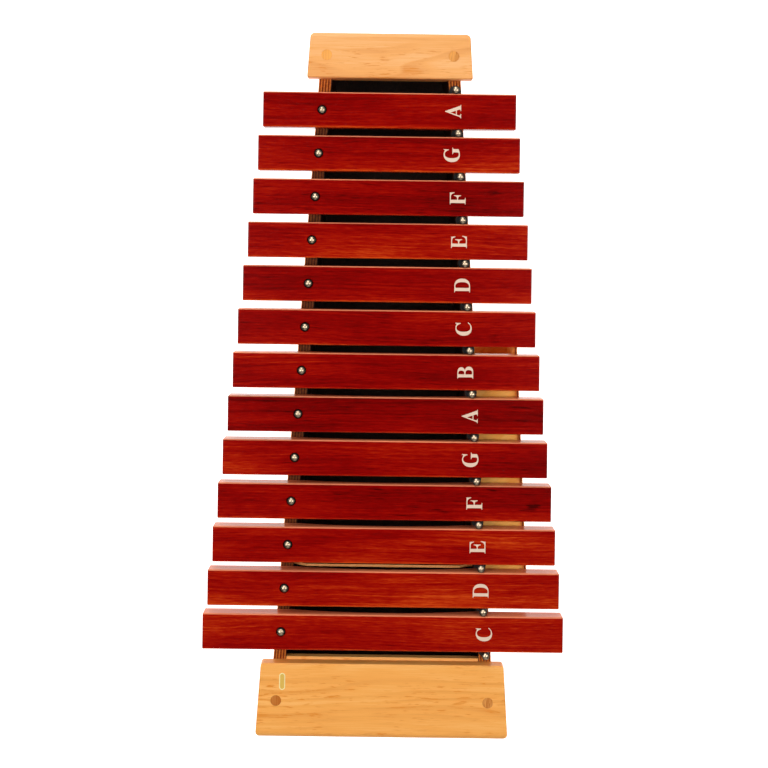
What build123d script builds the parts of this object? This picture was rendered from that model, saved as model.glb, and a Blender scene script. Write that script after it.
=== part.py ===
"""Diatonic alto xylophone: thirteen tone bars on a tapered resonator box, with a side pocket.

Frame, in millimetres: +X runs from the low notes to the high notes, -Y is the player's side
and +Z is up. The origin is under the middle of the whole instrument, on the surface it stands on.
"""

import math
import os

from build123d import *

# ---- Tone bars -------------------------------------------------------------------------
NOTES = ("c4", "d4", "e4", "f4", "g4", "a4", "b4", "c5", "d5", "e5", "f5", "g5", "a5")
BAR_PITCH = 46.5
BAR_WIDTH = 38.0
BAR_THICKNESS = 20.0
BAR_LENGTH_LOW = 385.0
BAR_LENGTH_STEP = 9.5
BAR_EDGE_RADIUS = 1.2
BAR_HOLE_RADIUS = 5.0
BAR_HOLE_CHAMFER = 0.6
ARCH_DEPTH_LOW = 10.5
ARCH_DEPTH_STEP = 0.35
ARCH_TO_PIN = 10.0  # full thickness is kept this far inside each pin line

# ---- Resonator box ---------------------------------------------------------------------
FOOT_HEIGHT = 8.0
FOOT_RADIUS = 11.0
FOOT_EDGE_RADIUS = 1.0
FOOT_INSET = 30.0
FOOT_RECESS_RADIUS = 4.0
FOOT_RECESS_DEPTH = 3.0
BOTTOM_THICKNESS = 5.0
WALL_HEIGHT = 118.0
WALL_THICKNESS = 14.0
END_WALL_THICKNESS = 12.0
PARTITION_THICKNESS = 3.0
PARTITION_DROP = 4.0
PARTITION_BEVEL_WIDTH = 9.0
PARTITION_BEVEL_DROP = 14.0
PARTITION_PLACE = 1.4  # counted in bars from the lowest
PIN_OFFSET_LOW = 108.7  # pins to centre line, at the lowest bar
TAPER = 0.0652  # narrowing of each pin line per unit of length

# ---- End planks ------------------------------------------------------------------------
PLANK_THICKNESS = 16.0
PLANK_OVERHANG = 12.3
PLANK_LENGTH_LOW = 79.5
PLANK_LENGTH_HIGH = 49.0
PLANK_GAP_LOW = 17.0  # from the last bar's side to the plank
PLANK_GAP_HIGH = 16.5
PLANK_LIP = 5.0  # the planks reach past the side walls' ends by this
PLANK_CORNER_RADIUS = 6.0  # outer corners, seen from above
PLANK_INNER_CORNER_LOW = 3.0
PLANK_INNER_CORNER_HIGH = 1.5
PLANK_NOSE_RADIUS = 6.0
PLANK_EDGE_RADIUS = 1.2
BATTEN_DEPTH = 20.0
BATTEN_HEIGHT = 9.0
BATTEN_LEDGE_LOW = 3.0  # how far each batten stands out past its plank's inner edge
BATTEN_LEDGE_HIGH = 0.0
PLUG_RADIUS = 5.75
PLUG_DEPTH = 7.0
PLUG_EDGE_BREAK = 0.3
LABEL_LENGTH = 18.0
LABEL_WIDTH = 6.4
LABEL_THICKNESS = 0.4
LABEL_FROM_EDGE = 19.0  # from the low plank's inner edge
LABEL_ACROSS = 107.0  # from the centre line

# ---- Pins, sleeves and screws ----------------------------------------------------------
PIN_RADIUS = 2.0
PIN_HOLD = 26.0  # length of pin in the wall
PIN_HEAD_RADIUS = 3.3
PIN_HEAD_RIM = 1.0
PIN_HEAD_HEIGHT = 2.3
PIN_RISE = 0.6  # underside of the head above the bars
SLEEVE_RADIUS = 4.0
SLEEVE_LIP_RADIUS = 0.5
FLANGE_RADIUS = 6.5
FLANGE_HEIGHT = 4.0
PLANK_SCREW_RADIUS = 2.0
PLANK_SCREW_HEAD_RADIUS = 4.0
PLANK_SCREW_HOLD = 28.0
SCREW_RADIUS = 1.5
SCREW_HEAD_RADIUS = 3.0
SCREW_HOLD = 16.0
BOTTOM_SCREW_PLACES = (1.5, 4.5, 7.5, 10.5)  # counted in bars from the lowest
END_SCREW_SHARES = (0.25, 0.75)  # of the walls' height

# ---- Side pocket for spare bars --------------------------------------------------------
POCKET_MOUTH_X = 27.0
POCKET_END_X = -229.0
POCKET_LIP = 15.0  # wall and floor reach past the top by this at the mouth
POCKET_WIDTH_MOUTH = 41.0
POCKET_WIDTH_END = 38.2
POCKET_WALL = 5.0
POCKET_PANEL = 5.0
POCKET_TOP_DROP = 1.5
POCKET_END_THICKNESS = 8.0
POCKET_HEIGHT = 74.0
POCKET_SCREW_COUNT = 3
POCKET_SCREW_INSET = 40.0

# ---- Worked-out places -----------------------------------------------------------------
BAR_COUNT = len(NOTES)
BARS_SPAN = (BAR_COUNT - 1) * BAR_PITCH + BAR_WIDTH
LENGTH = PLANK_LENGTH_LOW + PLANK_GAP_LOW + BARS_SPAN + PLANK_GAP_HIGH + PLANK_LENGTH_HIGH
X_LOW = -LENGTH / 2
X_HIGH = LENGTH / 2
PLANK_INNER_LOW = X_LOW + PLANK_LENGTH_LOW
PLANK_INNER_HIGH = X_HIGH - PLANK_LENGTH_HIGH
FIRST_BAR_X = PLANK_INNER_LOW + PLANK_GAP_LOW + BAR_WIDTH / 2
WALL_LOW = X_LOW + PLANK_LIP
WALL_HIGH = X_HIGH - PLANK_LIP
WALL_BOTTOM = FOOT_HEIGHT + BOTTOM_THICKNESS
RAIL_TOP = WALL_BOTTOM + WALL_HEIGHT
BAR_BOTTOM = RAIL_TOP + FLANGE_HEIGHT
BAR_TOP = BAR_BOTTOM + BAR_THICKNESS
PLANK_TOP = RAIL_TOP + PLANK_THICKNESS
HEAD_UNDER = BAR_TOP + PIN_RISE
POCKET_BOTTOM = RAIL_TOP - POCKET_HEIGHT
POCKET_FLOOR_TOP = POCKET_BOTTOM + POCKET_PANEL
POCKET_TOP = RAIL_TOP - POCKET_TOP_DROP
HALF_WALL = WALL_THICKNESS / 2 / math.cos(math.atan(TAPER))  # measured along Y

TOUCHING = 0.01  # closer than this counts as lying in one plane
ON_TOP = (Align.CENTER, Align.CENTER, Align.MIN)
HANGING = (Align.CENTER, Align.CENTER, Align.MAX)


def bar_x(number):
    """X of a bar's middle, counted from the lowest; halves are the gaps between bars."""
    return FIRST_BAR_X + number * BAR_PITCH


def pin_y(x):
    """Distance of either pin line from the centre line at x."""
    return PIN_OFFSET_LOW - TAPER * (x - FIRST_BAR_X)


def outer_y(x):
    """Distance of the side walls' outer faces from the centre line at x."""
    return pin_y(x) + HALF_WALL


def inner_y(x):
    """Distance of the side walls' inner faces from the centre line at x."""
    return pin_y(x) - HALF_WALL


def plank_y(x):
    """Distance of the planks' side edges from the centre line at x."""
    return outer_y(x) + PLANK_OVERHANG


def pocket_inner_y(x):
    """Distance of the pocket wall's inner face from the centre line at x."""
    share = (x - POCKET_END_X) / (POCKET_MOUTH_X - POCKET_END_X)
    return outer_y(x) + POCKET_WIDTH_END + share * (POCKET_WIDTH_MOUTH - POCKET_WIDTH_END)


def pocket_outer_y(x):
    """Distance of the pocket wall's outer face from the centre line at x."""
    return pocket_inner_y(x) + POCKET_WALL


def export(solid, name):
    """Labels a finished piece and writes it under its own name."""
    solid.label = name
    export_step(solid, os.path.join("parts", f"{name}.step"))


def tapered_slab(x_range, z_range, y_first, y_second):
    """Slab between two upright faces along X; each face is given by its Y as a function of x."""
    x_start, x_end = x_range
    bottom, top = z_range
    with BuildPart() as slab:
        with BuildSketch(Plane.XY.offset(bottom)):
            with BuildLine():
                Polyline(
                    (x_start, y_first(x_start)),
                    (x_end, y_first(x_end)),
                    (x_end, y_second(x_end)),
                    (x_start, y_second(x_start)),
                    close=True,
                )
            make_face()
        extrude(amount=top - bottom)
    return slab.part


def symmetric_slab(x_range, z_range, half_width):
    """Slab that reaches the same distance either side of the centre line."""
    return tapered_slab(x_range, z_range, lambda x: -half_width(x), half_width)


def near_slab(x_range, z_range, y_inner, y_outer):
    """Slab on the player's side, between two distances from the centre line."""
    return tapered_slab(x_range, z_range, lambda x: -y_inner(x), lambda x: -y_outer(x))


def flat_head_screw(radius, head_radius, length):
    """Countersunk screw that hangs from the flat of its head at the origin."""
    with BuildPart() as screw:
        Cone(radius, head_radius, head_radius - radius, align=HANGING)
        Cylinder(radius, length, align=HANGING)
    return screw.part


def turned(points, z, z_dir):
    """Planes at the given points, all at one height and facing one way."""
    return [Plane((x, y, z), z_dir=z_dir) for x, y in points]


os.makedirs("parts", exist_ok=True)

DOWN = (0, 0, -1)
UP = (0, 0, 1)
NEAR_WALL_INWARD = (-TAPER, 1, 0)

# ---- Where the fasteners go ------------------------------------------------------------
far_spots = [(bar_x(n), pin_y(bar_x(n))) for n in range(BAR_COUNT)]
near_spots = [(bar_x(n - 0.5), -pin_y(bar_x(n - 0.5))) for n in range(BAR_COUNT + 1)]
plank_middles = (X_LOW + PLANK_LENGTH_LOW / 2, X_HIGH - PLANK_LENGTH_HIGH / 2)
plug_spots = [(x, side * pin_y(x)) for x in plank_middles for side in (-1, 1)]
foot_xs = (WALL_LOW + FOOT_INSET, WALL_HIGH - FOOT_INSET)
foot_spots = [(x, side * pin_y(x)) for x in foot_xs for side in (-1, 1)]
bottom_xs = [bar_x(n) for n in BOTTOM_SCREW_PLACES]
bottom_spots = [(x, side * pin_y(x)) for x in bottom_xs for side in (-1, 1)]
end_wall_xs = (WALL_LOW + END_WALL_THICKNESS / 2, WALL_HIGH - END_WALL_THICKNESS / 2)
end_screw_heights = [WALL_BOTTOM + share * WALL_HEIGHT for share in END_SCREW_SHARES]
pocket_screw_step = (
    (POCKET_MOUTH_X - POCKET_END_X - 2 * POCKET_SCREW_INSET) / (POCKET_SCREW_COUNT - 1)
)
pocket_screw_xs = [
    POCKET_END_X + POCKET_SCREW_INSET + n * pocket_screw_step for n in range(POCKET_SCREW_COUNT)
]

# ---- Screws ----------------------------------------------------------------------------
plank_screw = flat_head_screw(
    PLANK_SCREW_RADIUS,
    PLANK_SCREW_HEAD_RADIUS,
    PLANK_THICKNESS - PLUG_DEPTH + PLANK_SCREW_HOLD,
)
with BuildPart() as plank_screws:
    with Locations(*turned(plug_spots, PLANK_TOP - PLUG_DEPTH, UP)):
        add(plank_screw)
export(plank_screws.part, "plank_screws")

foot_screw = flat_head_screw(
    SCREW_RADIUS,
    SCREW_HEAD_RADIUS,
    FOOT_HEIGHT - FOOT_RECESS_DEPTH + BOTTOM_THICKNESS + SCREW_HOLD,
)
with BuildPart() as foot_screws:
    with Locations(*turned(foot_spots, FOOT_RECESS_DEPTH, DOWN)):
        add(foot_screw)
export(foot_screws.part, "foot_screws")

bottom_screw = flat_head_screw(SCREW_RADIUS, SCREW_HEAD_RADIUS, BOTTOM_THICKNESS + SCREW_HOLD)
with BuildPart() as bottom_screws:
    with Locations(*turned(bottom_spots, FOOT_HEIGHT, DOWN)):
        add(bottom_screw)
export(bottom_screws.part, "bottom_screws")

wall_screw = flat_head_screw(SCREW_RADIUS, SCREW_HEAD_RADIUS, WALL_THICKNESS + SCREW_HOLD)
end_screw_planes = []
for x in end_wall_xs:
    for z in end_screw_heights:
        end_screw_planes.append(Plane((x, outer_y(x), z), z_dir=(TAPER, 1, 0)))
        end_screw_planes.append(Plane((x, -outer_y(x), z), z_dir=(TAPER, -1, 0)))
with BuildPart() as end_wall_screws:
    with Locations(*end_screw_planes):
        add(wall_screw)
export(end_wall_screws.part, "end_wall_screws")

pocket_screw_planes = [
    Plane((x, -inner_y(x), POCKET_BOTTOM + POCKET_PANEL / 2), z_dir=NEAR_WALL_INWARD)
    for x in pocket_screw_xs
]
with BuildPart() as pocket_screws:
    with Locations(*pocket_screw_planes):
        add(wall_screw)
export(pocket_screws.part, "pocket_screws")

# ---- Side walls, with the pins' holes and the screws' holes ----------------------------
for name, side, pin_spots in (("side_wall_far", 1, far_spots), ("side_wall_near", -1, near_spots)):
    slab = tapered_slab(
        (WALL_LOW, WALL_HIGH),
        (WALL_BOTTOM, RAIL_TOP),
        lambda x: side * inner_y(x),
        lambda x: side * outer_y(x),
    )
    with BuildPart() as wall:
        add(slab)
        with Locations(*[(x, y, RAIL_TOP) for x, y in pin_spots]):
            Cylinder(PIN_RADIUS, PIN_HOLD, align=HANGING, mode=Mode.SUBTRACT)
        add(plank_screws.part, mode=Mode.SUBTRACT)
        add(foot_screws.part, mode=Mode.SUBTRACT)
        add(bottom_screws.part, mode=Mode.SUBTRACT)
        add(end_wall_screws.part, mode=Mode.SUBTRACT)
        add(pocket_screws.part, mode=Mode.SUBTRACT)
    export(wall.part, name)

# ---- End walls, bottom and partition ---------------------------------------------------
for name, x_range in (
    ("end_wall_low", (WALL_LOW, WALL_LOW + END_WALL_THICKNESS)),
    ("end_wall_high", (WALL_HIGH - END_WALL_THICKNESS, WALL_HIGH)),
):
    slab = symmetric_slab(x_range, (WALL_BOTTOM, RAIL_TOP), inner_y)
    with BuildPart() as end_wall:
        add(slab)
        add(end_wall_screws.part, mode=Mode.SUBTRACT)
    export(end_wall.part, name)

slab = symmetric_slab((WALL_LOW, WALL_HIGH), (FOOT_HEIGHT, WALL_BOTTOM), outer_y)
with BuildPart() as bottom_panel:
    add(slab)
    add(foot_screws.part, mode=Mode.SUBTRACT)
    add(bottom_screws.part, mode=Mode.SUBTRACT)
export(bottom_panel.part, "bottom_panel")

partition_x = bar_x(PARTITION_PLACE)
slab = symmetric_slab(
    (partition_x - PARTITION_THICKNESS / 2, partition_x + PARTITION_THICKNESS / 2),
    (WALL_BOTTOM, RAIL_TOP - PARTITION_DROP),
    inner_y,
)
with BuildPart() as partition:
    add(slab)
    partition_corners = partition.edges().group_by(Axis.Z)[-1].filter_by(
        lambda edge: edge.length < 2 * PARTITION_THICKNESS
    )
    chamfer(partition_corners, length=PARTITION_BEVEL_WIDTH, length2=PARTITION_BEVEL_DROP)
export(partition.part, "partition")

# ---- Feet ------------------------------------------------------------------------------
with BuildPart() as foot:
    Cylinder(FOOT_RADIUS, FOOT_HEIGHT, align=ON_TOP)
    fillet(foot.edges().group_by(Axis.Z)[0], radius=FOOT_EDGE_RADIUS)
    Cylinder(FOOT_RECESS_RADIUS, FOOT_RECESS_DEPTH, align=ON_TOP, mode=Mode.SUBTRACT)
with BuildPart() as feet:
    with Locations(*foot_spots):
        add(foot.part)
    add(foot_screws.part, mode=Mode.SUBTRACT)
export(feet.part, "feet")

# ---- End planks, with their battens, plugs and label -----------------------------------
with BuildPart() as plug_holes:
    with Locations(*turned(plug_spots, PLANK_TOP, UP)):
        Cylinder(PLUG_RADIUS, PLUG_DEPTH, align=HANGING)
with BuildPart() as plank_plugs:
    add(plug_holes.part)
    chamfer(plank_plugs.edges().group_by(Axis.Z)[-1], length=PLUG_EDGE_BREAK)
export(plank_plugs.part, "plank_plugs")

# Each plank is an extruded profile with a rounded nose, cut to its tapered, round-cornered plan.
for name, x_outer, x_inner, outward, inner_corner, ledge in (
    ("low", X_LOW, PLANK_INNER_LOW, -1, PLANK_INNER_CORNER_LOW, BATTEN_LEDGE_LOW),
    ("high", X_HIGH, PLANK_INNER_HIGH, 1, PLANK_INNER_CORNER_HIGH, BATTEN_LEDGE_HIGH),
):
    slab = symmetric_slab((x_outer, x_inner), (RAIL_TOP, PLANK_TOP), plank_y)
    with BuildPart() as plan:
        add(slab)
        outer_corners = plan.edges().filter_by(Axis.Z).sort_by(
            lambda edge: abs(edge.center().X - x_outer)
        )
        fillet(outer_corners[:2], radius=PLANK_CORNER_RADIUS)
        inner_corners = plan.edges().filter_by(Axis.Z).sort_by(
            lambda edge: abs(edge.center().X - x_inner)
        )
        fillet(inner_corners[:2], radius=inner_corner)
    with BuildPart() as plank:
        with BuildSketch(Plane.XZ):
            with BuildLine():
                Polyline(
                    (x_outer - outward * PLANK_NOSE_RADIUS, PLANK_TOP),
                    (x_inner + outward * PLANK_EDGE_RADIUS, PLANK_TOP),
                    (x_inner, PLANK_TOP - PLANK_EDGE_RADIUS),
                    (x_inner, RAIL_TOP),
                    (x_outer, RAIL_TOP),
                    (x_outer, PLANK_TOP - PLANK_NOSE_RADIUS),
                )
                RadiusArc(
                    (x_outer, PLANK_TOP - PLANK_NOSE_RADIUS),
                    (x_outer - outward * PLANK_NOSE_RADIUS, PLANK_TOP),
                    radius=-outward * PLANK_NOSE_RADIUS,
                )
            make_face()
        extrude(amount=plank_y(x_outer) + PLANK_CORNER_RADIUS, both=True)
        add(plan.part, mode=Mode.INTERSECT)
        side_edges = plank.edges().filter_by(
            lambda edge: abs(edge.center().Z - PLANK_TOP) < TOUCHING
            and abs(edge.center().Y) > plank_y(x_inner) / 2
            and edge.length > PLANK_LENGTH_HIGH / 2
        )
        fillet(side_edges, radius=PLANK_EDGE_RADIUS)
        add(plug_holes.part, mode=Mode.SUBTRACT)
        add(plank_screws.part, mode=Mode.SUBTRACT)
    export(plank.part, f"end_plank_{name}")
    batten = symmetric_slab(
        (x_inner - outward * ledge, x_inner + outward * (BATTEN_DEPTH - ledge)),
        (RAIL_TOP - BATTEN_HEIGHT, RAIL_TOP),
        inner_y,
    )
    export(batten, f"plank_batten_{name}")

with BuildPart() as label_plate:
    with BuildSketch(Plane.XY.offset(PLANK_TOP)):
        with Locations((PLANK_INNER_LOW - LABEL_FROM_EDGE, LABEL_ACROSS)):
            SlotOverall(LABEL_LENGTH, LABEL_WIDTH)
    extrude(amount=LABEL_THICKNESS)
export(label_plate.part, "label_plate")

# ---- Pins and the rubber sleeves that carry the bars -----------------------------------
dome_rise = PIN_HEAD_HEIGHT - PIN_HEAD_RIM
dome_radius = (PIN_HEAD_RADIUS**2 + dome_rise**2) / (2 * dome_rise)
dome_angle = math.degrees(math.asin(PIN_HEAD_RADIUS / dome_radius))
pin_tip = RAIL_TOP - PIN_HOLD - HEAD_UNDER
with BuildPart() as pin:
    with BuildSketch(Plane.XZ):
        with BuildLine():
            Polyline(
                (0, PIN_HEAD_HEIGHT),
                (0, pin_tip),
                (PIN_RADIUS, pin_tip),
                (PIN_RADIUS, 0),
                (PIN_HEAD_RADIUS, 0),
                (PIN_HEAD_RADIUS, PIN_HEAD_RIM),
            )
            CenterArc((0, PIN_HEAD_HEIGHT - dome_radius), dome_radius, 90 - dome_angle, dome_angle)
        make_face()
    revolve(axis=Axis.Z)

with BuildPart() as sleeve:
    Cylinder(FLANGE_RADIUS, FLANGE_HEIGHT, align=ON_TOP)
    Cylinder(SLEEVE_RADIUS, HEAD_UNDER - RAIL_TOP, align=ON_TOP)
    fillet(sleeve.edges().group_by(Axis.Z)[-1], radius=SLEEVE_LIP_RADIUS)
    Cylinder(PIN_RADIUS, HEAD_UNDER - RAIL_TOP, align=ON_TOP, mode=Mode.SUBTRACT)

for name, spots in (("far", far_spots), ("near", near_spots)):
    with BuildPart() as pins:
        with Locations(*[(x, y, HEAD_UNDER) for x, y in spots]):
            add(pin.part)
    export(pins.part, f"pins_{name}")
    with BuildPart() as sleeves:
        with Locations(*[(x, y, RAIL_TOP) for x, y in spots]):
            add(sleeve.part)
    export(sleeves.part, f"sleeves_{name}")

# ---- Side pocket -----------------------------------------------------------------------
pocket_long = (POCKET_END_X, POCKET_MOUTH_X + POCKET_LIP)
slab = near_slab(pocket_long, (POCKET_BOTTOM, POCKET_FLOOR_TOP), outer_y, pocket_inner_y)
with BuildPart() as pocket_floor:
    add(slab)
    add(pocket_screws.part, mode=Mode.SUBTRACT)
export(pocket_floor.part, "pocket_floor")

pocket_top = near_slab(
    (POCKET_END_X, POCKET_MOUTH_X),
    (POCKET_TOP - POCKET_PANEL, POCKET_TOP),
    outer_y,
    pocket_inner_y,
)
export(pocket_top, "pocket_top")

pocket_wall = near_slab(pocket_long, (POCKET_BOTTOM, RAIL_TOP), pocket_inner_y, pocket_outer_y)
export(pocket_wall, "pocket_wall")

pocket_end = near_slab(
    (POCKET_END_X - POCKET_END_THICKNESS, POCKET_END_X),
    (POCKET_BOTTOM, RAIL_TOP),
    outer_y,
    pocket_outer_y,
)
export(pocket_end, "pocket_end")

# ---- Tone bars: an arch cut under each, and a hole for its pin on the far side ---------
for number, note in enumerate(NOTES):
    x = bar_x(number)
    half_length = (BAR_LENGTH_LOW - number * BAR_LENGTH_STEP) / 2
    arch_depth = ARCH_DEPTH_LOW - number * ARCH_DEPTH_STEP
    arch_half = pin_y(x) - ARCH_TO_PIN
    with BuildPart() as bar:
        with BuildSketch(Plane.YZ.offset(x - BAR_WIDTH / 2)):
            with BuildLine():
                Polyline(
                    (-arch_half, BAR_BOTTOM),
                    (-half_length, BAR_BOTTOM),
                    (-half_length, BAR_TOP),
                    (half_length, BAR_TOP),
                    (half_length, BAR_BOTTOM),
                    (arch_half, BAR_BOTTOM),
                )
                ThreePointArc(
                    (arch_half, BAR_BOTTOM), (0, BAR_BOTTOM + arch_depth), (-arch_half, BAR_BOTTOM)
                )
            make_face()
        extrude(amount=BAR_WIDTH)
        fillet(bar.edges().filter_by(Axis.Z), radius=BAR_EDGE_RADIUS)
        fillet(bar.edges().group_by(Axis.Z)[-1], radius=BAR_EDGE_RADIUS)
        with Locations((x, pin_y(x), BAR_TOP)):
            Cylinder(BAR_HOLE_RADIUS, BAR_THICKNESS, align=HANGING, mode=Mode.SUBTRACT)
            Cone(
                BAR_HOLE_RADIUS,
                BAR_HOLE_RADIUS + BAR_HOLE_CHAMFER,
                BAR_HOLE_CHAMFER,
                align=HANGING,
                mode=Mode.SUBTRACT,
            )
    export(bar.part, f"bar_{note}")
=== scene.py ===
import math

import bmesh
import bpy
from mathutils import Matrix, Vector


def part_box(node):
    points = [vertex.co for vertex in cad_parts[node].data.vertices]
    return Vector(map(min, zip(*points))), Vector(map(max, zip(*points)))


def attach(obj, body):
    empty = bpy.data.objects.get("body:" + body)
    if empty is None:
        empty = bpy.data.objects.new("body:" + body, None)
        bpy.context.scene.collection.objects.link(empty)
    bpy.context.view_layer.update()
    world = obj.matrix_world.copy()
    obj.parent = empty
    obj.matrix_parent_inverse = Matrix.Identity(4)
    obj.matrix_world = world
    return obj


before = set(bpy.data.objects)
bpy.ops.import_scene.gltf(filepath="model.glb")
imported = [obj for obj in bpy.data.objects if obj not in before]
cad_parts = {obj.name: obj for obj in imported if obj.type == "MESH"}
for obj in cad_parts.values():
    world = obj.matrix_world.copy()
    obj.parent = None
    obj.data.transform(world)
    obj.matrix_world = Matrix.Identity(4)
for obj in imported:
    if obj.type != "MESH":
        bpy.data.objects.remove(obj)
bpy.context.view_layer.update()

# ---- Sizes -----------------------------------------------------------------------------
MM = 0.001
NOTES = ("c4", "d4", "e4", "f4", "g4", "a4", "b4", "c5", "d5", "e5", "f5", "g5", "a5")


def middle(box):
    """Middle of a box given by its lowest and highest corners."""
    return (box[0] + box[1]) / 2


bar_boxes = {note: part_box(f"bar_{note}") for note in NOTES}
BAR_TOP = bar_boxes["c4"][1].z
bar_width = bar_boxes["c4"][1].x - bar_boxes["c4"][0].x
# How far each wall leans in towards the high end, per unit of length.
WALL_TAPER = 0.0652
POCKET_TAPER = 0.0543
WALL_THICKNESS = 14 * MM
POCKET_WALL_THICKNESS = 5 * MM


def add_object(name, data):
    """A new object in the scene, at the origin."""
    made = bpy.data.objects.new(name, data)
    bpy.context.scene.collection.objects.link(made)
    return made


# ---- Shader maths ----------------------------------------------------------------------
class Value:
    """An output socket of a finish, with plain arithmetic."""

    def __init__(self, finish, socket):
        self.finish = finish
        self.socket = socket

    def maths(self, operation, first, second):
        return self.finish.node("Math", {"operation": operation}, {0: first, 1: second})

    def __add__(self, other):
        return self.maths("ADD", self, other)

    def __radd__(self, other):
        return self.maths("ADD", other, self)

    def __sub__(self, other):
        return self.maths("SUBTRACT", self, other)

    def __rsub__(self, other):
        return self.maths("SUBTRACT", other, self)

    def __mul__(self, other):
        return self.maths("MULTIPLY", self, other)

    def __rmul__(self, other):
        return self.maths("MULTIPLY", other, self)

    def __truediv__(self, other):
        return self.maths("DIVIDE", self, other)

    def __abs__(self):
        return self.finish.node("Math", {"operation": "ABSOLUTE"}, {0: self})


class Finish:
    """A material: one principled shader and the nodes that feed it."""

    def __init__(self, name, **shader):
        self.material = bpy.data.materials.new(name)
        self.material.use_nodes = True
        self.tree = self.material.node_tree
        self.tree.nodes.clear()
        output = self.tree.nodes.new("ShaderNodeOutputMaterial")
        self.shader = self.tree.nodes.new("ShaderNodeBsdfPrincipled")
        self.tree.links.new(self.shader.outputs[0], output.inputs[0])
        for socket, value in shader.items():
            self.set(socket.replace("_", " ").title().replace("Ior", "IOR"), value)

    def put(self, socket, value):
        """Feeds one socket with a link, a number, a vector or a colour."""
        if isinstance(value, Value):
            self.tree.links.new(value.socket, socket)
        elif socket.type == "RGBA" and len(value) == 3:
            socket.default_value = (*value, 1.0)
        else:
            socket.default_value = value

    def set(self, name, value):
        """Feeds a socket of the shader."""
        self.put(self.shader.inputs[name], value)

    def node(self, kind, settings=None, inputs=None, output=0):
        """Adds one node: its settings first, then its sockets by name or number."""
        made = self.tree.nodes.new("ShaderNode" + kind)
        for key, value in (settings or {}).items():
            if key == "stops":
                ramp = made.color_ramp
                while len(ramp.elements) < len(value):
                    ramp.elements.new(0.5)
                for element, (place, colour) in zip(ramp.elements, value):
                    element.position = place
                    element.color = (*colour, 1.0)
            else:
                setattr(made, key, value)
        for key, value in (inputs or {}).items():
            self.put(made.inputs[key], value)
        return Value(self, made.outputs[output])

    # -- places --
    def place(self):
        """Object coordinates, in metres."""
        return self.node("TexCoord", output=3)

    def parts(self, vector):
        """The three numbers of a vector."""
        split = self.node("SeparateXYZ", None, {0: vector})
        return tuple(Value(self, socket) for socket in split.socket.node.outputs)

    def vector(self, x, y, z):
        return self.node("CombineXYZ", None, {0: x, 1: y, 2: z})

    def stretch(self, vector, scale, shift=(0.0, 0.0, 0.0)):
        """A vector scaled and then moved, each way by its own amount."""
        inputs = {0: vector, 1: scale, 2: shift}
        return self.node("VectorMath", {"operation": "MULTIPLY_ADD"}, inputs)

    # -- patterns --
    def noise(self, vector, detail=2.0, roughness=0.5, distortion=0.0):
        """Soft noise from 0 to 1, about one blotch to each unit of the vector."""
        inputs = {
            "Vector": vector,
            "Scale": 1.0,
            "Detail": detail,
            "Roughness": roughness,
            "Distortion": distortion,
        }
        return self.node("TexNoise", None, inputs)

    def ramp(self, value, *stops):
        """A colour ramp through (place, colour) stops."""
        return self.node("ValToRGB", {"stops": stops}, {0: value})

    def saw(self, value):
        """Rises from 0 to 1 again and again, once for each unit of the value."""
        return self.node("Math", {"operation": "FRACT"}, {0: value})

    def step(self, value, low, high):
        """0 below low, 1 above high and smooth between."""
        settings = {"interpolation_type": "SMOOTHSTEP"}
        return self.node("MapRange", settings, {0: value, 1: low, 2: high})

    def mix(self, factor, first, second):
        """Two colours mixed: the first at 0, the second at 1."""
        inputs = {0: factor, 6: first, 7: second}
        return self.node("Mix", {"data_type": "RGBA"}, inputs, output=2)

    def bump(self, height, distance):
        """Raises the surface by height times distance, in metres."""
        inputs = {"Strength": 1.0, "Distance": distance, "Height": height}
        self.set("Normal", self.node("Bump", None, inputs))


def dress(name, finish):
    """Gives a CAD node its finish."""
    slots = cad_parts[name].data.materials
    slots.clear()
    slots.append(finish.material)


# ---- Finishes --------------------------------------------------------------------------
# Patterns are given by how often they repeat in a metre, and bumps by their height.

# Each bar was cut from its own board: how light it is, how strongly streaked and flecked, and
# how much lighter it gets towards its low side and towards its far end.
BOARDS = {
    "c4": (0.66, 0.35, 0.20, 0.00, 0.00),
    "d4": (0.67, 0.40, 0.15, 0.14, 0.00),
    "e4": (0.65, 0.30, 0.10, 0.03, 0.00),
    "f4": (0.46, 0.55, 0.90, 0.00, 0.03),
    "g4": (0.46, 0.50, 0.25, 0.02, 0.20),
    "a4": (0.31, 0.45, 0.35, 0.00, 0.05),
    "b4": (0.54, 0.35, 0.10, 0.02, 0.00),
    "c5": (0.47, 0.50, 0.35, 0.03, 0.08),
    "d5": (0.47, 0.30, 0.10, 0.02, 0.03),
    "e5": (0.62, 0.45, 0.15, 0.03, 0.03),
    "f5": (0.37, 0.75, 0.30, 0.00, 0.06),
    "g5": (0.47, 0.60, 0.20, 0.20, 0.05),
    "a5": (0.46, 0.35, 0.10, 0.03, 0.00),
}
# Painted highlight along a bar's top edge on its high side.
EDGE_HIGHLIGHT = (0.85, 0.260, 0.120)
# Colours of the hardwood, from its darkest streaks to its lightest.
REDS = (
    (0.00, (0.060, 0.0002, 0.0001)),
    (0.15, (0.130, 0.0003, 0.0002)),
    (0.32, (0.196, 0.0005, 0.0003)),
    (0.47, (0.254, 0.0010, 0.0004)),
    (0.64, (0.332, 0.0050, 0.0007)),
    (0.80, (0.420, 0.0180, 0.0018)),
    (1.00, (0.560, 0.0550, 0.0050)),
)


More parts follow.
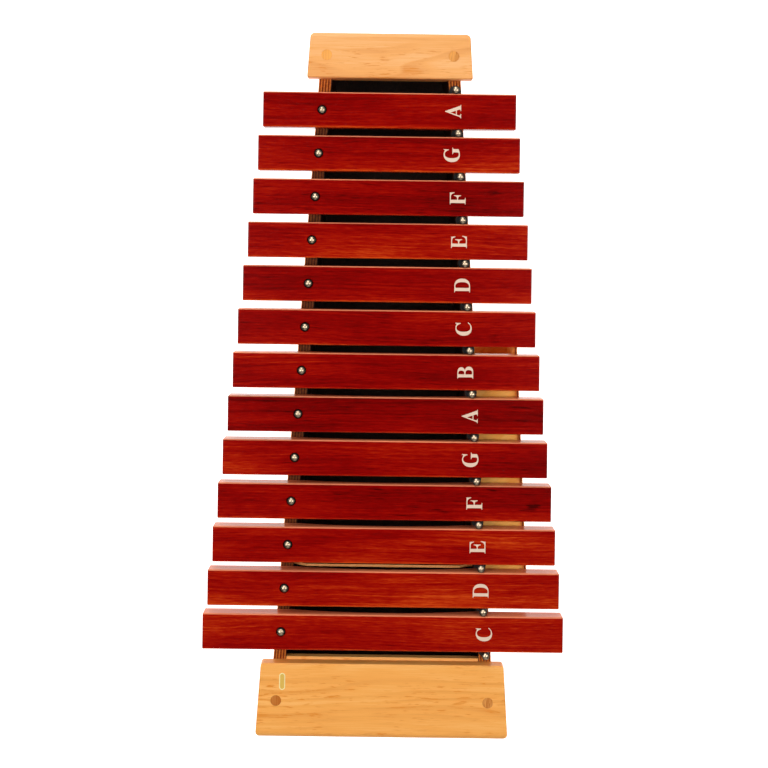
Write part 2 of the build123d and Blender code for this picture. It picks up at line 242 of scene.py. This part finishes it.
def tone_wood(note):
    """Red hardwood with its grain along the bar, oiled and rubbed; its top edges get painted
    highlights.
    """
    tone, streaky, flecked, lean, tail = BOARDS[note]
    number = NOTES.index(note)
    finish = Finish(f"tone_wood_{note}", specular_ior_level=0.1)
    place = finish.place()
    shift = (1.7 * number, 0.9 * number, 2.3 * number)
    wander = finish.noise(finish.stretch(place, (6, 3.5, 6), shift), detail=2)
    x, y, z = finish.parts(place)
    bent = finish.vector(x + 0.02 * wander, y, z)
    clouds = finish.noise(finish.stretch(bent, (30, 5, 30), shift), detail=2)
    ribbons = finish.noise(finish.stretch(bent, (420, 5, 420), shift), detail=3, roughness=0.6)
    fibres = finish.noise(finish.stretch(bent, (1000, 75, 1000), shift), detail=3, roughness=0.65)
    streaks = finish.noise(finish.stretch(bent, (560, 40, 560), shift), detail=2, roughness=0.6)
    flecks = finish.noise(finish.stretch(bent, (170, 21, 170), shift), detail=2, distortion=0.3)
    pores = finish.noise(finish.stretch(place, (2600, 190, 2600), shift), detail=1)
    low_side = (middle(bar_boxes[note]).x - x) / (bar_width / 2)
    # Painted highlights: lighter along the top edge on the low side, and EDGE_HIGHLIGHT along the top
    # edge on the high side.
    low_edge = finish.step(low_side, 0.86, 0.97)
    high_edge = finish.step(low_side, -0.92, -0.965)
    far_end = finish.step(y, 0.45 * bar_boxes[note][1].y, bar_boxes[note][1].y)
    value = tone + lean * low_side + tail * far_end
    value = value + 1.0 * (clouds - 0.5) + 0.75 * (ribbons - 0.5) + 0.75 * (fibres - 0.5)
    value = value + 0.32 * low_edge * (0.5 + ribbons)
    value = value - (0.34 * streaky) * finish.step(streaks, 0.55, 0.72)
    value = value - (0.45 * flecked) * finish.step(flecks, 0.64, 0.74)
    open_pores = finish.step(pores, 0.62, 0.72)
    value = value - 0.10 * open_pores
    highlighted = finish.mix(high_edge * (0.35 + clouds), finish.ramp(value, *REDS), EDGE_HIGHLIGHT)
    finish.set("Base Color", highlighted)
    finish.set("Roughness", 0.17 + 0.08 * fibres + 0.08 * open_pores)
    finish.bump(fibres * 0.6 - open_pores, 0.02 * MM)
    return finish


LATE_PINE = (0.80, 0.265, 0.032)
EARLY_PINE = (0.94, 0.47, 0.13)


def pine(name, shift, tone, figure, turned=False, late=LATE_PINE, rise=0.0, tint=(1, 1, 1)):
    """Lacquered pine with its grain across the instrument, or along it when turned.

    Tone says how light it is and figure how plain to see its late wood is. It is lighter by rise
    at the high end, and all its colours are multiplied by tint.
    """
    finish = Finish(name, specular_ior_level=0.2, coat_weight=0.04, coat_roughness=0.25)
    x, y, z = finish.parts(finish.place())
    along, across = (x, y) if turned else (y, x)
    base = finish.vector(across, along, z)
    wander = finish.noise(finish.stretch(base, (13, 2.6, 13), shift), detail=2, roughness=0.4)
    rings = finish.saw(across * 75 + wander * 9)
    late_wood = finish.step(rings, 0.35, 0.9) * (1 - finish.step(rings, 0.92, 1.0))
    bands = finish.noise(finish.stretch(base, (75, 4, 75), shift), detail=3)
    fibres = finish.noise(finish.stretch(base, (950, 24, 950), shift), detail=3, roughness=0.65)
    patches = finish.noise(finish.stretch(base, (22, 7, 22), shift), detail=2)
    dashes = finish.noise(finish.stretch(base, (640, 60, 640), shift), detail=2, roughness=0.6)
    marks = finish.step(dashes, 0.57, 0.7) * finish.step(patches, 0.36, 0.62)
    value = tone + 1.1 * (bands - 0.5) + 0.7 * (fibres - 0.5)
    value = value - figure * late_wood * finish.step(patches, 0.35, 0.65) - 0.8 * marks
    if rise:
        value = value + rise * finish.step(x, -0.1, 0.1)
    between = tuple(0.55 * dark + 0.45 * light for dark, light in zip(late, EARLY_PINE))
    stops = []
    for stop, colour in (
        (0.0, late),
        (0.3, between),
        (0.55, (0.93, 0.40, 0.085)),
        (0.85, (0.98, 0.49, 0.14)),
    ):
        stops.append((stop, tuple(part * share for part, share in zip(colour, tint))))
    finish.set("Base Color", finish.ramp(value, *stops))
    finish.set("Roughness", 0.36 + 0.14 * fibres)
    finish.bump(fibres * 0.5 + late_wood * 0.4 - marks * 0.4, 0.05 * MM)
    return finish


# Colours of the faces of the plywood, from the lines of its grain to its lightest parts.
FACE_VENEER = ((0.0, (0.56, 0.18, 0.030)), (0.4, (0.80, 0.31, 0.060)), (0.8, (0.92, 0.43, 0.12)))
# Paler veneer for the pocket top: painted light, as it lies in the shade under the bars.
LIT_POCKET_VENEER = ((0.0, (0.90, 0.36, 0.060)), (0.5, (0.98, 0.46, 0.095)), (0.9, (1.0, 0.54, 0.14)))
# Nearly black painted shade on the faces inside the box, and painted shade on the plywood edges that
# the bars cover.
PAINTED_INSIDE_SHADE = (0.022, 0.0050, 0.0020)
PAINTED_BAR_SHADE = (0.030, 0.0040, 0.0010)
# Two colours for each kind of ply as it shows at an edge: those that cross it, those that run
# along it, and the plain edge of the partition.
DARK_PLY = ((0.200, 0.032, 0.002), (0.110, 0.014, 0.001))
LIGHT_PLY = ((0.62, 0.180, 0.026), (0.44, 0.120, 0.016))
PALE_PLY = ((0.96, 0.430, 0.160), (0.88, 0.340, 0.100))


def plywood(
    name,
    layer,
    along_x=True,
    plies=9,
    inside_shade=(False, False),
    pale_edge=False,
    bar_shade_span=None,
    veneer=FACE_VENEER,
):
    """Plywood: layer gives how far through the sheet a point is, from 0 to 1.

    The grain of its faces runs along X, or else along Y. Faces inside the box get nearly black
    painted shade: the first, at 0, the last, at 1, or both. Its edges show the plies unless they
    are pale, and get painted shade along the stretch of X under the bars.
    """
    finish = Finish(name, specular_ior_level=0.12)
    place = finish.place()
    x, y, z = finish.parts(place)
    along, across = (x, z) if along_x else (y, z)
    base = finish.vector(across, along, x + y)
    wander = finish.noise(finish.stretch(base, (9, 2.5, 9)), detail=2, roughness=0.4)
    rings = finish.saw(across * 45 + wander * 8)
    late_wood = finish.step(rings, 0.3, 0.9) * (1 - finish.step(rings, 0.93, 1.0))
    bands = finish.noise(finish.stretch(base, (60, 3, 60)), detail=3)
    fibres = finish.noise(finish.stretch(base, (900, 20, 900)), detail=3, roughness=0.65)
    value = 0.6 + 1.0 * (bands - 0.5) + 0.6 * (fibres - 0.5) - 0.35 * late_wood
    face = finish.ramp(value, *veneer)
    depth = layer(x, y, z)
    # Painted shade: the faces inside the box are made nearly black.
    if inside_shade[0]:
        face = finish.mix(finish.step(depth, 0.5, 0.4), face, PAINTED_INSIDE_SHADE)
    if inside_shade[1]:
        face = finish.mix(finish.step(depth, 0.5, 0.6), face, PAINTED_INSIDE_SHADE)
    crossed = finish.step(abs(finish.saw(depth * (plies / 2)) - 0.5), 0.24, 0.27)
    ends = finish.noise(finish.stretch(place, (420, 420, 420)), detail=2)
    if pale_edge:
        edge = finish.mix(finish.step(fibres, 0.4, 0.6), *PALE_PLY)
    else:
        dark = finish.mix(finish.step(ends, 0.35, 0.65), *DARK_PLY)
        light = finish.mix(finish.step(fibres, 0.4, 0.6), *LIGHT_PLY)
        edge = finish.mix(crossed, light, dark)
    # Painted shade on the ply edges under the bars, mottled by the end grain noise.
    if bar_shade_span:
        shaded_under_bars = finish.step(x, bar_shade_span[0], bar_shade_span[0] + 4 * MM)
        shaded_under_bars = shaded_under_bars * finish.step(x, bar_shade_span[1], bar_shade_span[1] - 4 * MM)
        edge = finish.mix(shaded_under_bars * (0.55 + 0.4 * ends), edge, PAINTED_BAR_SHADE)
    at_face = finish.step(abs(depth - 0.5), 0.5 - 0.6 / plies, 0.5 - 0.45 / plies)
    finish.set("Base Color", finish.mix(at_face, edge, face))
    finish.set("Roughness", 0.42 + 0.14 * fibres)
    finish.bump(fibres * 0.5 - 0.5 * crossed, 0.06 * MM)
    return finish


def hardboard(name):
    """Pressed board, smooth on one side, with short matted fibres, made nearly black as painted shade
    deep in the box.
    """
    finish = Finish(name, specular_ior_level=0.3)
    place = finish.place()
    mat = finish.noise(finish.stretch(place, (260, 330, 260)), detail=3, distortion=1.2)
    specks = finish.noise(finish.stretch(place, (1500, 1500, 1500)), detail=2)
    # Nearly black colours: painted shade inside the closed box.
    stops = (
        (0.3, (0.016, 0.006, 0.003)),
        (0.55, (0.034, 0.013, 0.006)),
        (0.8, (0.060, 0.026, 0.012)),
    )
    finish.set("Base Color", finish.ramp(mat * 0.7 + specks * 0.3, *stops))
    finish.set("Roughness", 0.5 + 0.2 * specks)
    finish.bump(mat + 0.5 * specks, 0.04 * MM)
    return finish


def leaning_layer(node, taper, thickness):
    """How far through a wall a point is, from 0 inside to 1 outside.

    The wall stands along the box and leans in towards the high end.
    """
    low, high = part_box(node)
    outer_at_low_end = max(abs(low.y), abs(high.y))

    def layer(x, y, z):
        outer = outer_at_low_end - (x - low.x) * taper
        return 1 - (outer - abs(y)) / thickness

    return layer


def box_layer(node, axis):
    """How far through a flat panel a point is, from 0 to 1 along one axis."""
    low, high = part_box(node)

    def layer(x, y, z):
        value = (x, y, z)[axis]
        return (value - low[axis]) / (high[axis] - low[axis])

    return layer


def plain(name, colour, roughness, metallic=0.0, spread=0.08, scale=700.0, height=0.02 * MM):
    """Metal, rubber or paint, with a fine mottle as strong as spread."""
    finish = Finish(name, metallic=metallic)
    grain = finish.noise(finish.stretch(finish.place(), (scale, scale, scale)), detail=2)
    darker = tuple(channel * (1 - 3 * spread) for channel in colour)
    finish.set("Base Color", finish.mix(grain, darker, colour))
    finish.set("Roughness", roughness - spread + 2 * spread * grain)
    finish.bump(grain, height)
    return finish


for note in NOTES:
    dress(f"bar_{note}", tone_wood(note))
dress("end_plank_low", pine("plank_pine_low", (3.1, 0.4, 1.2), tone=0.62, figure=0.34))
high_pine = pine(
    "plank_pine_high",
    (7.7, 2.1, 5.2),
    tone=0.64,
    figure=0.55,
    tint=(0.93, 0.98, 1.40),
)
dress("end_plank_high", high_pine)
batten_pine = pine("batten_pine", (1.2, 6.4, 0.3), tone=0.85, figure=0.15)
dress("plank_batten_low", batten_pine)
dress("plank_batten_high", batten_pine)
plug_wood = pine(
    "plug_wood",
    (9.2, 3.3, 4.1),
    tone=0.20,
    figure=0.3,
    turned=True,
    late=(0.50, 0.140, 0.016),
    rise=0.32,
)
dress("plank_plugs", plug_wood)
# Stretch of X under the bars, where the plywood edges get painted shade.
shaded_under_bars = (bar_boxes["c4"][0].x, bar_boxes["a5"][1].x)
wall_layer = leaning_layer("side_wall_far", WALL_TAPER, WALL_THICKNESS)
wall_plywood = plywood("wall_plywood", wall_layer, inside_shade=(True, False), bar_shade_span=shaded_under_bars)
dress("side_wall_far", wall_plywood)
dress("side_wall_near", wall_plywood)
for node, inside_shade in (("end_wall_low", (False, True)), ("end_wall_high", (True, False))):
    dress(node, plywood(f"{node}_plywood", box_layer(node, 0), along_x=False, inside_shade=inside_shade))
partition_plywood = plywood(
    "partition_plywood",
    box_layer("partition", 0),
    along_x=False,
    inside_shade=(True, True),
    pale_edge=True,
)
dress("partition", partition_plywood)
dress("bottom_panel", hardboard("bottom_hardboard_shaded"))
dress("pocket_floor", plywood("pocket_floor_plywood", box_layer("pocket_floor", 2), plies=5))
pocket_top_layer = box_layer("pocket_top", 2)
dress("pocket_top", plywood("pocket_top_painted_light", pocket_top_layer, plies=5, veneer=LIT_POCKET_VENEER))
dress("pocket_end", plywood("pocket_end_plywood", box_layer("pocket_end", 0), plies=5))
pocket_wall_layer = leaning_layer("pocket_wall", POCKET_TAPER, POCKET_WALL_THICKNESS)
dress("pocket_wall", plywood("pocket_wall_plywood", pocket_wall_layer, plies=3))
nickel = plain("nickel", (0.60, 0.46, 0.31), 0.33, metallic=1.0, spread=0.04, height=0.002 * MM)
rubber = plain("black_rubber", (0.016, 0.015, 0.014), 0.6, spread=0.1, height=0.03 * MM)
zinc = plain("zinc_plate", (0.62, 0.62, 0.60), 0.35, metallic=1.0, height=0.005 * MM)
label_field = plain("label_field", (0.80, 0.50, 0.09), 0.4, spread=0.05, height=0.005 * MM)
label_gold = plain("pale_gold", (1.0, 0.92, 0.48), 0.35, spread=0.03, height=0.005 * MM)
for node in ("pins_far", "pins_near"):
    dress(node, nickel)
for node in ("sleeves_far", "sleeves_near", "feet"):
    dress(node, rubber)
for node in ("plank_screws", "foot_screws", "bottom_screws", "end_wall_screws", "pocket_screws"):
    dress(node, zinc)
dress("label_plate", label_field)

# ---- Note letters ----------------------------------------------------------------------
CAP_HEIGHT = 16.8 * MM
PAINT_THICKNESS = 0.06 * MM
# Widths of the letters, as shares of their height.
LETTER_WIDTHS = {"a": 0.86, "b": 0.77, "c": 0.85, "d": 0.88, "e": 0.78, "f": 0.77, "g": 0.92}
# Bold serif capitals on a grid 100 high: M starts an outline, L is a line and C is a curve.
CAPITALS = {
    "a": (
        "M 0 0 L 0 3 C 6 4 9 7 13 16 L 50 102 L 54 102 L 92 14 C 95 7 98 4 104 3 L 104 0 L 56 0"
        " L 56 3 C 64 3 67 5 67 9 C 67 11 66 14 65 17 L 61 27 L 27 27 L 23 17 C 20 9 21 4 33 3 L 33 0",
        "M 30 33 L 44 68 L 58 33",
    ),
    "b": (
        "M 0 100 L 0 97 C 8 96 10 94 10 86 L 10 14 C 10 6 8 4 0 3 L 0 0 L 50 0 C 76 0 90 10 90 27"
        " C 90 41 80 50 62 53 C 76 56 84 64 84 75 C 84 91 71 100 46 100",
        "M 32 94 L 42 94 C 54 94 60 88 60 76 C 60 62 53 56 40 56 L 32 56",
        "M 32 49 L 41 49 C 57 49 65 42 65 28 C 65 14 58 6 44 6 C 35 6 32 8 32 14",
    ),
    "c": (
        "M 88 68 L 84 68 C 78 86 69 95 56 95 C 38 95 29 80 29 49 C 29 19 39 6 58 6"
        " C 70 6 80 11 90 23 L 93 20 C 83 6 70 -2 51 -2 C 21 -2 2 18 2 48 C 2 79 23 102 53 102"
        " C 60 102 67 100 74 97 C 77 96 79 95 81 95 C 83 95 85 97 86 102 L 90 102",
    ),
    "d": (
        "M 0 100 L 0 97 C 8 96 10 94 10 86 L 10 14 C 10 6 8 4 0 3 L 0 0 L 44 0"
        " C 78 0 98 20 98 51 C 98 81 79 100 46 100",
        "M 32 86 C 32 92 34 94 42 94 C 62 94 73 78 73 50 C 73 22 62 6 43 6 C 35 6 32 8 32 15",
    ),
    "e": (
        "M 0 100 L 0 97 C 8 96 10 94 10 86 L 10 14 C 10 6 8 4 0 3 L 0 0 L 83 0 L 88 30 L 84 30"
        " C 77 13 69 6 54 6 L 42 6 C 34 6 32 8 32 15 L 32 49 L 38 49 C 51 49 56 44 59 30 L 63 30"
        " L 63 74 L 59 74 C 57 61 51 55 38 55 L 32 55 L 32 94 L 53 94 C 67 94 74 89 79 73 L 83 73"
        " L 81 100",
    ),
    "f": (
        "M 0 100 L 0 97 C 8 96 10 94 10 86 L 10 14 C 10 6 8 4 0 3 L 0 0 L 46 0 L 46 3"
        " C 35 4 32 6 32 14 L 32 48 L 38 48 C 51 48 56 43 59 29 L 63 29 L 63 74 L 59 74"
        " C 57 60 51 54 38 54 L 32 54 L 32 94 L 51 94 C 66 94 74 88 79 71 L 83 71 L 82 100",
    ),
    "g": (
        "M 90 68 L 86 68 C 80 86 71 95 57 95 C 39 95 29 80 29 49 C 29 19 38 5 56 5 C 64 5 70 8 70 14"
        " L 70 32 C 70 40 67 42 57 43 L 57 46 L 103 46 L 103 43 C 95 42 93 40 93 32 L 93 8"
        " C 83 2 69 -2 54 -2 C 22 -2 2 18 2 48 C 2 79 24 102 55 102 C 62 102 69 100 76 97"
        " C 79 96 81 95 83 95 C 85 95 87 97 88 102 L 92 102",
    ),
}
# Distance of each letter's middle from the centre line, in millimetres: they are put on by hand.
LETTER_PLACES = dict(zip(NOTES, (108, 104, 100, 96, 91, 90, 84.5, 82, 80, 76, 74, 67, 68)))
# Corners closer together than this are merged.
SAME_PLACE = 0.001 * MM


def knots(path):
    """Bezier knots of one outline: each is a point, its handle in and its handle out."""
    tokens = iter(path.split())
    made = []

    def next_point():
        return Vector((float(next(tokens)), float(next(tokens)), 0))

    for command in tokens:
        if command == "C":
            made[-1][2] = next_point()
            handle_in = next_point()
            point = next_point()
            made.append([point, handle_in, point])
        else:
            point = next_point()
            made.append([point, point, point])
    return made


def letter(note):
    """One painted capital, lying on its bar."""
    curve = bpy.data.curves.new(f"letter_{note}", "CURVE")
    curve.dimensions = "2D"
    curve.fill_mode = "BOTH"
    curve.extrude = PAINT_THICKNESS / 2
    curve.resolution_u = 8
    for path in CAPITALS[note[0]]:
        spline = curve.splines.new("BEZIER")
        outline = knots(path)
        spline.bezier_points.add(len(outline) - 1)
        spline.use_cyclic_u = True
        for knot, (point, handle_in, handle_out) in zip(spline.bezier_points, outline):
            knot.handle_left_type = "FREE"
            knot.handle_right_type = "FREE"
            knot.co = point * CAP_HEIGHT / 100
            knot.handle_left = handle_in * CAP_HEIGHT / 100
            knot.handle_right = handle_out * CAP_HEIGHT / 100
    flat = add_object(f"letter_{note}_outline", curve)
    mesh = bpy.data.meshes.new_from_object(flat)
    bpy.data.objects.remove(flat)
    mesh.name = f"letter_{note}"
    across = [vertex.co.x for vertex in mesh.vertices]
    squeeze = LETTER_WIDTHS[note[0]] * CAP_HEIGHT / (max(across) - min(across))
    mesh.transform(Matrix.Diagonal((squeeze, 1, 1, 1)))
    to_bar = (
        middle(bar_boxes[note]).x - squeeze * (min(across) + max(across)) / 2,
        -LETTER_PLACES[note] * MM - CAP_HEIGHT / 2,
        BAR_TOP + PAINT_THICKNESS / 2,
    )
    mesh.transform(Matrix.Translation(to_bar))
    made = bmesh.new()
    made.from_mesh(mesh)
    bmesh.ops.remove_doubles(made, verts=made.verts, dist=SAME_PLACE)
    bmesh.ops.recalc_face_normals(made, faces=made.faces)
    made.to_mesh(mesh)
    made.free()
    return add_object(f"letter_{note}", mesh)


letter_paint = plain("letter_paint", (0.82, 0.60, 0.45), 0.6, spread=0.05, scale=2500.0)
for note in NOTES:
    piece = letter(note)
    piece.data.materials.append(letter_paint.material)
    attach(piece, f"bar_{note}")

# ---- Label rim -------------------------------------------------------------------------
RIM_WIDTH = 0.9 * MM
RIM_HEIGHT = 0.3 * MM
RIM_ROUNDING = 0.12 * MM
RIM_STEPS = 48  # straight steps in the label's two round ends together


def label_rim():
    """Raised gold rim along the edge of the label, which has round ends."""
    low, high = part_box("label_plate")
    radius = (high.y - low.y) / 2
    reach = (high.x - low.x) / 2 - radius
    made = bmesh.new()
    bmesh.ops.create_circle(made, cap_ends=True, radius=radius, segments=RIM_STEPS)
    half_step = Matrix.Rotation(math.pi / RIM_STEPS, 3, "Z")
    bmesh.ops.rotate(made, cent=(0, 0, 0), matrix=half_step, verts=made.verts)
    for end in (-1, 1):
        round_end = [vertex for vertex in made.verts if vertex.co.x * end > 0]
        bmesh.ops.translate(made, verts=round_end, vec=(end * reach, 0, 0))
    band = bmesh.ops.inset_region(
        made,
        faces=made.faces[:],
        use_boundary=True,
        use_even_offset=True,
        thickness=RIM_WIDTH,
    )["faces"]
    field = [face for face in made.faces if face not in band]
    bmesh.ops.delete(made, geom=field, context="FACES_ONLY")
    raised = bmesh.ops.extrude_face_region(made, geom=made.faces[:], use_keep_orig=True)["geom"]
    top = [item for item in raised if isinstance(item, bmesh.types.BMVert)]
    bmesh.ops.translate(made, verts=top, vec=(0, 0, RIM_HEIGHT))
    bmesh.ops.recalc_face_normals(made, faces=made.faces)
    corners = [
        edge
        for edge in made.edges
        if min(vertex.co.z for vertex in edge.verts) > RIM_HEIGHT / 2
        and any(abs(face.normal.z) < 0.5 for face in edge.link_faces)
    ]
    bmesh.ops.bevel(
        made,
        geom=corners,
        offset=RIM_ROUNDING,
        segments=3,
        profile=0.5,
        affect="EDGES",
        material=-1,
    )
    centre = middle((low, high))
    bmesh.ops.translate(made, verts=made.verts, vec=(centre.x, centre.y, high.z))
    mesh = bpy.data.meshes.new("label_rim")
    made.to_mesh(mesh)
    made.free()
    return add_object("label_rim", mesh)


rim = label_rim()
rim.data.materials.append(label_gold.material)
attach(rim, "box")

# ---- Camera, light and floor -----------------------------------------------------------
CAMERA_PLACE = (0.1569, 0.0084, 1.58)
camera_data = bpy.data.cameras.new("camera")
camera = add_object("camera", camera_data)
camera_data.sensor_width = 36
camera_data.lens = 62.5
camera_data.shift_y = -0.2
camera_data.clip_end = 20
# Looks straight down with the high notes at the top of the view, and turned a little.
straight_down = Matrix(((0, 1, 0), (-1, 0, 0), (0, 0, 1)))
tilt = Matrix.Rotation(math.radians(0.377), 3, "X")
roll = Matrix.Rotation(math.radians(-0.163), 3, "Y")
turn = Matrix.Rotation(math.radians(0.77), 3, "Z")
aim = straight_down @ tilt @ roll @ turn
camera.matrix_world = Matrix.Translation(CAMERA_PLACE) @ aim.to_4x4()
bpy.context.scene.camera = camera


# Middle of the instrument, which the lights face.
LIT_POINT = Vector((0, 0, 0.1))


def softbox(name, place, width, height, power):
    """A flat area light that faces the instrument."""
    data = bpy.data.lights.new(name, "AREA")
    data.shape = "RECTANGLE"
    data.size = width
    data.size_y = height
    data.energy = power
    light = add_object(name, data)
    light.location = place
    light.rotation_euler = (light.location - LIT_POINT).to_track_quat("Z", "Y").to_euler()


softbox("softbox_high_end", (2.0, 0.3, 1.75), width=1.4, height=1.4, power=31)
softbox("softbox_low_end", (-2.0, -0.2, 1.75), width=2.2, height=2.2, power=9)
# These two hang to either side, where they light what is under the gaps between the bars.
softbox("softbox_far", (0.12, 1.1, 1.85), width=0.7, height=1.0, power=18.5)
softbox("softbox_near", (0.12, -1.1, 1.85), width=0.7, height=1.0, power=17)

world = bpy.data.worlds.new("studio")
bpy.context.scene.world = world
world.use_nodes = True
backdrop_light = world.node_tree.nodes["Background"]
backdrop_light.inputs["Color"].default_value = (1, 1, 1, 1)
backdrop_light.inputs["Strength"].default_value = 0.03

FLOOR_SIZE = 12.0
floor_mesh = bpy.data.meshes.new("floor")
floor_shape = bmesh.new()
bmesh.ops.create_grid(floor_shape, x_segments=1, y_segments=1, size=FLOOR_SIZE / 2)
floor_shape.to_mesh(floor_mesh)
floor_shape.free()
floor = add_object("floor", floor_mesh)
white_floor = Finish("white_floor", roughness=0.9)
white_floor.set("Base Color", (0.5, 0.5, 0.5))
white_floor.set("Emission Color", (1, 1, 1))
white_floor.set("Emission Strength", 1.2)
floor_mesh.materials.append(white_floor.material)

bpy.context.scene.view_settings.view_transform = "Standard"
